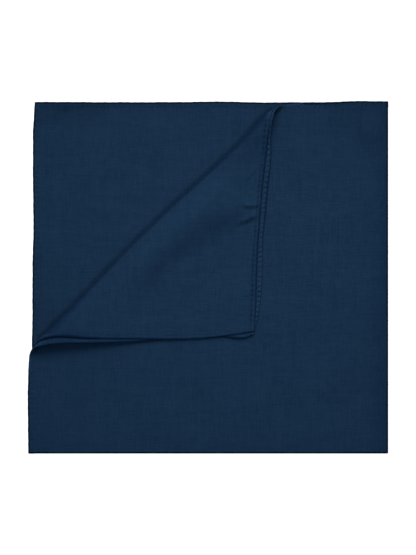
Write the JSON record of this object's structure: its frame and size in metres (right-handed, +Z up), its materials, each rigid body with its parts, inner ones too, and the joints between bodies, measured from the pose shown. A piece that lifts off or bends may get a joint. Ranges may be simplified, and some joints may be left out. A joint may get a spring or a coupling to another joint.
{
  "type": "bandana",
  "caption": "Plain hemmed cotton bandana folded in quarters and laid flat, with the open corner of its upper layers turned back over it along a diagonal.",
  "frame": {"origin": "under the middle of the folded square, on the surface that it lies on", "axes": "+Z up, +X towards the folded right edge, +Y towards the hemmed back edge"},
  "size_m": [0.2753, 0.2687, 0.0143],
  "materials": {
    "cotton": "matte navy plain-weave cotton",
    "hem": "the same cotton, double-turned and stitched in navy thread"
  },
  "bodies": {
    "root": {"under_layers": "cotton", "turned_layer": "cotton", "top_layer": "cotton", "bottom_left_hem": "hem", "bottom_back_hem": "hem", "second_left_hem": "hem", "second_back_hem": "hem", "turned_left_hem": "hem", "turned_back_hem": "hem", "top_left_hem": "hem", "top_back_hem": "hem"}
  },
  "joints": []
}
